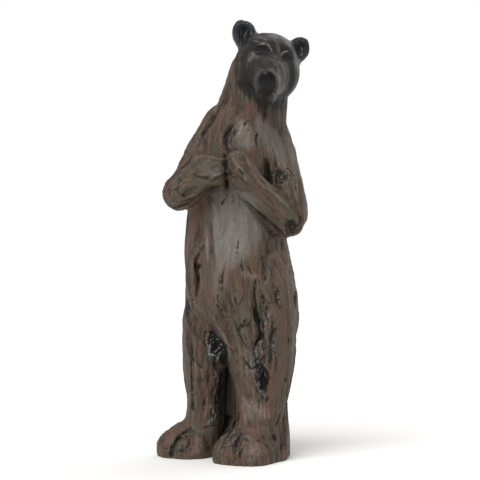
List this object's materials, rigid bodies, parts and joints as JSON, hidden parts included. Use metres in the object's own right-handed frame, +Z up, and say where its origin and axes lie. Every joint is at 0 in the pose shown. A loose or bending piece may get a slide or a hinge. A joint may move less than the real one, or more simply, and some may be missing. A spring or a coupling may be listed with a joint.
{
  "type": "standing bear statue",
  "caption": "Bear standing upright with its paws folded on its chest and its head tilted, carved in the manner of weathered driftwood.",
  "frame": {"origin": "on the ground under the soles, in the middle of the statue's box in plan", "axes": "+Z up; the bear's face looks along -Y and its left side is +X"},
  "size_m": [0.317, 0.2756, 0.9005],
  "materials": {
    "painted_resin": "satin, painted as weathered brown driftwood with a dark grey head and black ears and nose"
  },
  "bodies": {
    "root": {"bear_statue": "painted_resin"}
  },
  "joints": []
}
